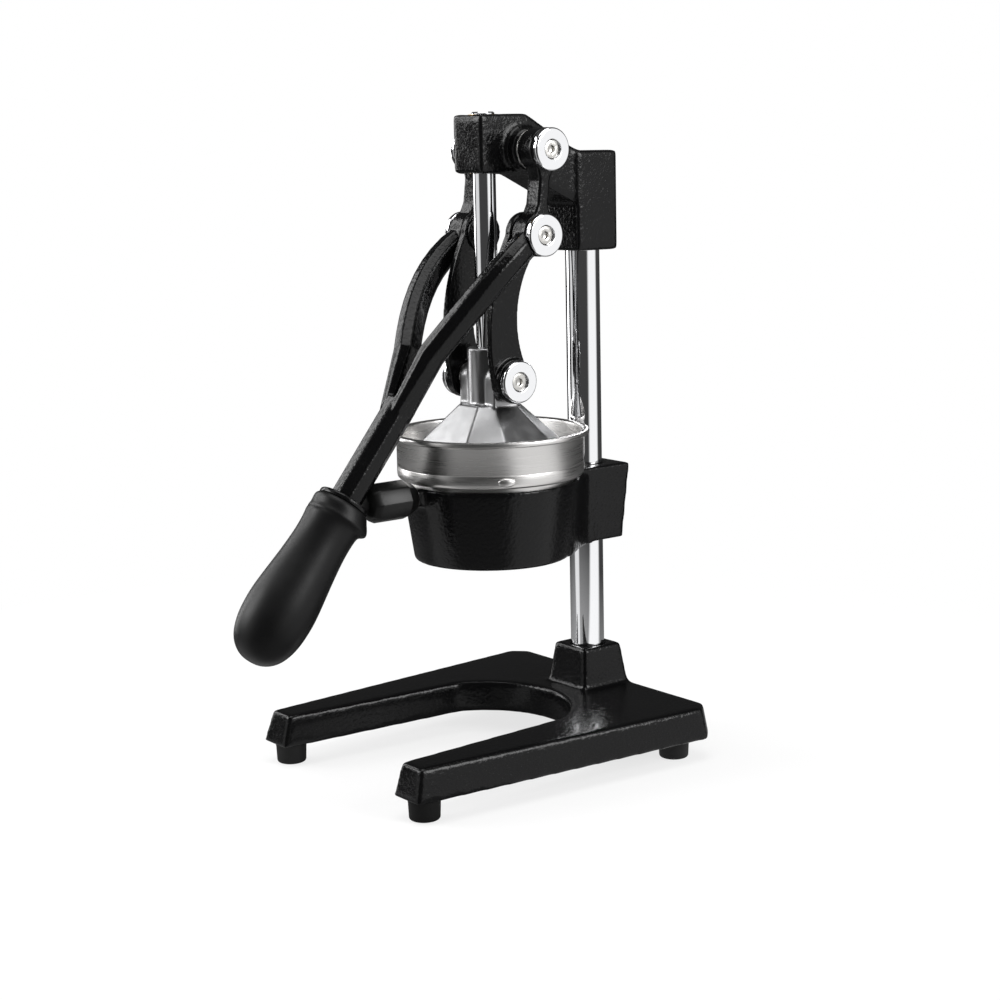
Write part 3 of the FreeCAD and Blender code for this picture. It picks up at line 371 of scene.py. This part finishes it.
RUBBER_BLACK = (0.004, 0.004, 0.004)
rubber, rubber_tree, rubber_shader, rubber_place = new_material("rubber", RUBBER_BLACK, roughness=0.55)
rubber_shader.inputs["Specular IOR Level"].default_value = 0.25
bump(rubber_tree, rubber_shader, noise(rubber_tree, rubber_place, scale=900), strength=0.15, depth=0.0003)
SCREW_NICKEL = (0.55, 0.54, 0.52)
steel, steel_tree, steel_shader, steel_place = new_material("nickel_screw", SCREW_NICKEL, metallic=1)
uneven(steel_tree, steel_shader, noise(steel_tree, steel_place, scale=300), 0.2, 0.36)

FOOT_PROFILE = [(2.55, 6), (5, 6), (5, 0), (8.1, 0), (9.1, 0.9), (9.5, 10.5), (10.1, 12.8),
                (2.55, 12.8), (2.55, 6)]
FOOT_PLACES = (("front_left", -71.9, -107.7), ("front_right", 71.9, -107.7),
               ("rear_left", -80.0, 78.0), ("rear_right", 80.0, 78.0))
for corner_name, foot_x, foot_y in FOOT_PLACES:
    rubber_foot = lathe("rubber_foot_" + corner_name, FOOT_PROFILE, at(foot_x, foot_y, 0))
    edged(rubber_foot, 0.7)
    shown(rubber_foot, rubber, "frame", ["foot_" + corner_name])
plain("foot_screws", "foot_screw_set", steel, "frame", 0.3, steps=3)

# Column
# Steel bar, ground and chromed, with a chamfer at each end. It stands in the pedestal's socket,
# and a bolt with a washer goes into its tapped foot from under the base and draws it down.
CHROME = (0.9, 0.905, 0.92)
chrome, chrome_tree, chrome_shader, chrome_place = new_material("chrome", CHROME, metallic=1)
uneven(chrome_tree, chrome_shader, noise(chrome_tree, chrome_place, scale=90), 0.035, 0.085)
bump(chrome_tree, chrome_shader, noise(chrome_tree, chrome_place, scale=40), strength=0.03, depth=0.001)
COLUMN_Y = 76.1
COLUMN_PROFILE = [(0, 50), (4.03, 50), (4.03, 26), (9.8, 26), (10.8, 27), (10.8, 361), (9.8, 362), (0, 362)]
column = lathe("chrome_column", COLUMN_PROFILE, at(0, COLUMN_Y, 0), steps=96)
shown(column, chrome, "frame", ["column"])
plain("column_washer", "column_bolt_washer", steel, "frame", 0.2, steps=3)
plain("column_bolt", "column_hex_bolt", steel, "frame", 0.4, steps=3)

# Bowl bracket
# Cast iron bowl, open below, with a neck and a block round the column.
# Two set screws in the back of the block clamp it, and a stub in front carries the bumper.
bracket = copy_of("bowl_bracket", "bowl_bracket_skin")
# A hollow fillet on each side leads the bowl's wall into the block's side
FILLET_TOP = [(20.3, 68), (20.3, 61), (22.5, 57.5), (26.5, 52), (31.5, 46), (37.5, 40), (42.5, 34.5),
              (38, 35), (29, 42), (17, 56)]
FILLET_FOOT = [(17.2, 68), (17.2, 62), (19.2, 58.5), (23, 52.5), (28.5, 45.5), (34.5, 38), (39.5, 31),
               (35, 32), (26, 40), (14, 55)]
FILLET_TOP_Z = 173.5
FILLET_FOOT_Z = 128
count = len(FILLET_TOP)
walls = [(step, (step + 1) % count, (step + 1) % count + count, step + count) for step in range(count)]
ends = [tuple(range(count)), tuple(range(count, 2 * count))]
for side in (1, -1):
    foot_ring = [at(side * x, y, FILLET_FOOT_Z) for x, y in FILLET_FOOT]
    top_ring = [at(side * x, y, FILLET_TOP_Z) for x, y in FILLET_TOP]
    mesh = bpy.data.meshes.new("bracket_fillet")
    mesh.from_pydata(foot_ring + top_ring, [], walls + ends)
    fillet = new_piece("bracket_fillet", mesh)
    bpy.ops.object.mode_set(mode="EDIT")
    bpy.ops.mesh.select_all(action="SELECT")
    bpy.ops.mesh.normals_make_consistent(inside=False)
    bpy.ops.object.mode_set(mode="OBJECT")
    select_only(bracket)
    fillet.select_set(True)
    bpy.ops.object.join()
cast(bracket, grain=1.0, rounds=18)
shown(bracket, enamel, "frame", ["bowl_bracket"], CAST_ANGLE)
plain("bracket_set_screws", "bracket_screw_set", steel, "frame", 0.3, steps=3)

# Bumper
# Eight-sided rubber cap with a rounded nose, pushed over the stub's peg.
# The lever's bar comes to rest on it when the handle is down.
bumper_rubber, bumper_tree, bumper_shader, bumper_place = new_material(
    "bumper_rubber", RUBBER_BLACK, roughness=0.32)
bumper_shader.inputs["Specular IOR Level"].default_value = 0.25
bump(bumper_tree, bumper_shader, noise(bumper_tree, bumper_place, scale=500), strength=0.1, depth=0.0003)
FORWARD = Vector((0, -1, 0))
BUMPER_PROFILE = [(0, 84), (5.03, 84), (5.03, 59.6), (8.2, 59.6), (12.1, 67.5), (12.1, 88), (10.2, 92),
                  (6.4, 94.4), (0, 94.4)]
BUMPER_Z = 171.5
bumper = lathe("bumper_cap", BUMPER_PROFILE, at(0, 0, BUMPER_Z), FORWARD, steps=8)
edged(bumper, 0.8, steps=2)
shown(bumper, bumper_rubber, "frame", ["bumper"], angle=24)

# Strainer cup
# Deep-drawn stainless steel with a rolled rim and a slotted dish that hangs in the bowl.
# Its step rests on the bowl's edge, and it lifts out for washing.
STEEL_GREY = (0.64, 0.63, 0.62)
BRUSHING = (30, 30, 2600)
stainless, stainless_tree, stainless_shader, stainless_place = new_material(
    "stainless", STEEL_GREY, metallic=1)
lines = noise(stainless_tree, stainless_place, scale=1, detail=3, stretch=BRUSHING)
bump(stainless_tree, stainless_shader, lines, strength=0.12, depth=0.0002)
uneven(stainless_tree, stainless_shader, lines, 0.24, 0.4)
CUP_PROFILE = [
    (0, 166), (43.5, 166), (46.5, 167.2), (47.5, 170), (47.5, 176), (51.6, 176), (51.6, 178.4),
    (54.9, 178.4), (56.3, 178.8), (57.3, 179.9), (57.7, 181.6), (57.7, 186.2), (57.55, 186.6),
    (57.7, 187), (57.7, 202.8), (58.2, 203.4), (59.8, 203.4), (61, 204.2), (61.3, 205.4),
    (60.9, 206.5), (59.7, 207), (58, 207), (56.8, 206.3), (56.5, 205), (56.5, 182.5), (55.8, 180.8),
    (54, 179.8), (50.4, 179.6), (50.4, 177.2), (46.3, 177.2), (46.3, 170), (45.3, 168),
    (43.5, 167.2), (0, 167.2)]
cup = lathe("cup_shell", CUP_PROFILE, at(0, 0, 0), steps=128)
SLOT_COUNT = 20
SLOT_RADIUS = 40.2
SLOT_Z = 166.5
SLOT_SIZE = Vector((8.5, 3, 6))
for number in range(SLOT_COUNT):
    angle = 2 * math.pi * number / SLOT_COUNT
    slot_place = at(SLOT_RADIUS * math.cos(angle), SLOT_RADIUS * math.sin(angle), SLOT_Z)
    bpy.ops.mesh.primitive_cube_add(size=1, location=slot_place)
    cutter = bpy.context.object
    cutter.scale = SLOT_SIZE * MM
    cutter.rotation_euler = (0, 0, angle)
    worked(cup, "BOOLEAN", object=cutter, operation="DIFFERENCE", solver="EXACT")
    bpy.data.objects.remove(cutter)
# A stamped pip stands out near the cup's foot
PIP_X, PIP_Y, PIP_Z = 50.6, -26.7, 182.8
PIP_SIZE = Vector((2.1, 5.4, 2.9))
bpy.ops.mesh.primitive_uv_sphere_add(segments=32, ring_count=16, radius=1, location=at(PIP_X, PIP_Y, PIP_Z))
pip = bpy.context.object
pip.scale = PIP_SIZE * MM
pip.rotation_euler = (0, 0, math.atan2(PIP_Y, PIP_X))
bpy.ops.object.transform_apply(location=True, rotation=True, scale=True)
select_only(cup)
pip.select_set(True)
bpy.ops.object.join()
shown(cup, stainless, "frame", ["strainer_cup"], angle=40)

# Reamer
# Ribbed steel cone that stands in the cup's dish, under the press cone.
# It is cast and polished in one piece, and only rests in place.
plain("reamer_cone", "reamer_ribbed", stainless, "frame", 0.4)

# Head
# Cast iron: a front block bored for the rod, a sloping arm, a rear block round the column's top
# and a round boss on each side for the lever's shaft. Two set screws clamp it from behind.
head = copy_of("head_casting", "head_casting_skin")
cast(head, grain=1.0, rounds=40)
shown(head, enamel, "frame", ["head_casting"], CAST_ANGLE)
plain("head_set_screws", "head_screw_set", steel, "frame", 0.3, steps=3)

# Guide bush
# A turned bronze sleeve, pressed into the bore of the front block.
# The rod slides in it with an oil film's clearance.
BRONZE = (0.46, 0.31, 0.14)
bronze, bronze_tree, bronze_shader, bronze_place = new_material("bronze", BRONZE, metallic=1, roughness=0.3)
bump(bronze_tree, bronze_shader, noise(bronze_tree, bronze_place, scale=500), strength=0.08, depth=0.0002)
BUSH_PROFILE = [(7.05, 362.1), (9, 362.1), (9, 397), (7.05, 397), (7.05, 362.1)]
bush = lathe("bronze_bush", BUSH_PROFILE, at(0, 0, 0))
edged(bush, 0.3, steps=2)
shown(bush, bronze, "frame", ["guide_bush"])

# Top pivot
# A ground shaft through the head carries the lever's eyes, with a washer beside each boss.
# A chromed cap on each end is held by a countersunk screw with a hexagon socket.
SCREW_TOP = 3.4
SCREW_PROFILE = [(0, -13), (3, -13), (3, 0.8), (5.2, 3.2), (5.3, SCREW_TOP), (0, SCREW_TOP)]
SOCKET_RADIUS = 2.4
SOCKET_DEPTH = 2.2


def socket_screw(name, foot, axis):
    """A countersunk screw with a hexagon socket, from the cap's inner face outwards."""
    screw = lathe(name, SCREW_PROFILE, foot, axis, steps=48)
    bpy.ops.mesh.primitive_cylinder_add(vertices=6, radius=SOCKET_RADIUS * MM, depth=2 * SOCKET_DEPTH * MM,
                                        location=foot + axis * SCREW_TOP * MM)
    socket = bpy.context.object
    socket.rotation_mode = "QUATERNION"
    socket.rotation_quaternion = axis.to_track_quat("Z", "Y")
    worked(screw, "BOOLEAN", object=socket, operation="DIFFERENCE", solver="EXACT")
    bpy.data.objects.remove(socket)
    edged(screw, 0.25, steps=2)
    return screw


CAP_PROFILE = [(3.03, 0), (11.8, 0), (12.7, 0.9), (12.7, 3.8), (11.9, 4.6), (6.2, 4.6), (5.8, 4.2),
               (5.8, 3.4), (3.03, 0.8), (3.03, 0)]
RIGHT = Vector((1, 0, 0))


def cap_set(stem, body, inner_x, y, z):
    """The two caps of a pivot and their screws, which share one node."""
    screws = []
    for side_name, axis in (("left", -RIGHT), ("right", RIGHT)):
        foot = at(axis.x * inner_x, y, z)
        cap = lathe("%s_chrome_cap_%s" % (stem, side_name), CAP_PROFILE, foot, axis)
        edged(cap, 0.4, angle=20)
        shown(cap, chrome, body, ["%s_cap_%s" % (stem, side_name)])
        screws.append(socket_screw("%s_socket_screw_%s" % (stem, side_name), foot, axis))
    select_only(screws[0])
    screws[1].select_set(True)
    bpy.ops.object.join()
    screws[0].name = stem + "_socket_screws"
    shown(screws[0], steel, body, [stem + "_cap_screws"])


plain("top_pivot_shaft", "top_shaft_ground", steel, "frame", 0.4)
for side_name in ("left", "right"):
    plain("top_washer_" + side_name, "top_washer_ring_" + side_name, steel, "frame", 0.2)
LEVER_CAP_X = 38.3
TOP_PIVOT_Y = 19.0
TOP_PIVOT_Z = 375.7
cap_set("top", "frame", LEVER_CAP_X, TOP_PIVOT_Y, TOP_PIVOT_Z)

# Press cone
# Sand-cast aluminium, tumbled to a satin: eight facets round a hollow cone, a hub for the rod
# and a cross block with a half-round top for the lower pins.
CAST_GREY = (0.3, 0.3, 0.304)
aluminium, aluminium_tree, aluminium_shader, aluminium_place = new_material(
    "cast_aluminium", CAST_GREY, metallic=1)
grit = noise(aluminium_tree, aluminium_place, scale=420, detail=3)
bump(aluminium_tree, aluminium_shader, grit, strength=0.12, depth=0.0003)
uneven(aluminium_tree, aluminium_shader, noise(aluminium_tree, aluminium_place, scale=150), 0.28, 0.36)
cone = copy_of("press_cone", "press_cone_skin")
edged(cone, 0.8, steps=2, angle=24)
cast(cone, grain=0.75, rounds=9)
shown(cone, aluminium, "press", ["press_cone"], CAST_ANGLE)

# Guide rod
# A ground and chromed bar, pressed into the cone's hub.
# It slides up through the head and keeps the cone upright.
ROD_PROFILE = [(0, 232), (7, 232), (7, 397.7), (6.2, 398.5), (0, 398.5)]
rod = lathe("chrome_rod", ROD_PROFILE, at(0, 0, 0))
shown(rod, chrome, "press", ["guide_rod"])

# Lower pivots
# Turned steel pins fixed in the cross block, with a washer beside each.
# Chromed caps with socket screws keep the links on the pins.
LOWER_CAP_X = 27.3
LOWER_PIVOT_Z = 238.4
for side_name in ("left", "right"):
    plain("lower_pin_" + side_name, "lower_pin_turned_" + side_name, steel, "press", 0.3)
    plain("lower_washer_" + side_name, "lower_washer_ring_" + side_name, steel, "press", 0.2)
cap_set("lower", "press", LOWER_CAP_X, 0, LOWER_PIVOT_Z)

# Lever
# One iron casting: two eyes on the shaft, webs down to the middle bosses, and two chamfered arms
# that bow outwards and join in an eight-sided bar. A tang on its end goes into the grip.
fork = copy_of("lever_fork", "lever_casting_skin")
cast(fork, grain=0.75, rounds=10)
shown(fork, enamel, "lever", ["lever_fork"], CAST_ANGLE)

# Ferrule
# A pressed metal ring in the lever's glossy black.
# It is held between the bar's shoulder and the grip.
BAR_LEAN = math.radians(38.9)
BAR_DOWN = Vector((0, -math.sin(BAR_LEAN), -math.cos(BAR_LEAN)))
GRIP_TOP = at(0, -107.5, 176.0)
FERRULE_PROFILE = [(7.03, 0), (15.1, 0), (15.9, 0.8), (15.9, 3.2), (7.03, 3.2), (7.03, 0)]
ferrule = lathe("ferrule_ring", FERRULE_PROFILE, GRIP_TOP, BAR_DOWN)
edged(ferrule, 0.5)
shown(ferrule, enamel, "lever", ["grip_ferrule"])

# Grip
# Moulded black plastic with a satin skin: a flared lip, a waist, a full swelling and a round end.
# It is driven onto the lever's tang, and a fine mould line runs along its middle.
GRIP_BLACK = (0.004, 0.004, 0.0042)
grip_plastic, grip_tree, grip_shader, grip_place = new_material("grip_plastic", GRIP_BLACK)
grip_shader.inputs["Specular IOR Level"].default_value = 0.2
SEAM_HALF_WIDTH = 0.00022
SKIN_SHARE = 0.3
sides = grip_tree.nodes.new("ShaderNodeSeparateXYZ")
grip_tree.links.new(grip_place, sides.inputs[0])
seam = grip_tree.nodes.new("ShaderNodeMath")
seam.operation = "COMPARE"
seam.inputs[1].default_value = 0.0
seam.inputs[2].default_value = SEAM_HALF_WIDTH
grip_tree.links.new(sides.outputs["X"], seam.inputs[0])
skin = grip_tree.nodes.new("ShaderNodeMath")
skin.operation = "MULTIPLY_ADD"
skin.inputs[1].default_value = SKIN_SHARE
grip_tree.links.new(noise(grip_tree, grip_place, scale=700), skin.inputs[0])
grip_tree.links.new(seam.outputs[0], skin.inputs[2])
bump(grip_tree, grip_shader, skin.outputs[0], strength=0.2, depth=0.0003)
uneven(grip_tree, grip_shader, noise(grip_tree, grip_place, scale=80), 0.38, 0.46)
GRIP_PROFILE = [
    (0, 71), (7.03, 71), (7.03, 3.2), (15.2, 3.2), (16.8, 3.6), (17.8, 6), (18.9, 10), (19.6, 12.4),
    (19.2, 13.6), (17.8, 15.2), (17.1, 18.5), (16.8, 27), (17.2, 35), (18.3, 47), (19.8, 59), (21.1, 71),
    (21.1, 79), (20.6, 87), (19.2, 94), (16.4, 101), (12, 106), (6.5, 109), (0, 109.7)]
grip = lathe("grip_handle", GRIP_PROFILE, GRIP_TOP, BAR_DOWN, steps=36)
# The lip stands out on the underside alone, so its rings are moved that way
UNDERSIDE = Vector((0, -BAR_DOWN.z, BAR_DOWN.y))
LIP_START = 9.5
LIP_END = 14.0
LIP_SHIFT = 2.2
bpy.ops.object.mode_set(mode="EDIT")
bpy.ops.mesh.select_all(action="DESELECT")
bpy.ops.object.mode_set(mode="OBJECT")
for corner in grip.data.vertices:
    along = (corner.co - GRIP_TOP).dot(BAR_DOWN) / MM
    corner.select = LIP_START < along < LIP_END
bpy.ops.object.mode_set(mode="EDIT")
bpy.ops.transform.translate(value=UNDERSIDE * LIP_SHIFT * MM)
bpy.ops.object.mode_set(mode="OBJECT")
worked(grip, "SUBSURF", levels=2)
shown(grip, grip_plastic, "lever", ["grip"], angle=60)

# Middle pivots
# Turned steel pins in the lever's bosses.
# They have the same chromed caps and socket screws as the shaft above.
MIDDLE_PIVOT_Y = 13.1
MIDDLE_PIVOT_Z = 325.6
for side_name in ("left", "right"):
    plain("middle_pin_" + side_name, "middle_pin_turned_" + side_name, steel, "lever", 0.3)
cap_set("middle", "lever", LEVER_CAP_X, MIDDLE_PIVOT_Y, MIDDLE_PIVOT_Z)

# Links
# Two curved iron castings, enamelled like the lever, that pull the cone down.
# Each turns on a lower pin and hangs by a stud beside the lever's middle boss.
for side_name in ("left", "right"):
    link = copy_of("link_" + side_name, "link_skin_" + side_name)
    edged(link, 0.9, steps=2, angle=40)
    cast(link, grain=0.55, rounds=4)
    shown(link, enamel, "links", ["link_" + side_name], CAST_ANGLE)
    plain("middle_stud_" + side_name, "middle_stud_turned_" + side_name, enamel, "links",
          0.5)
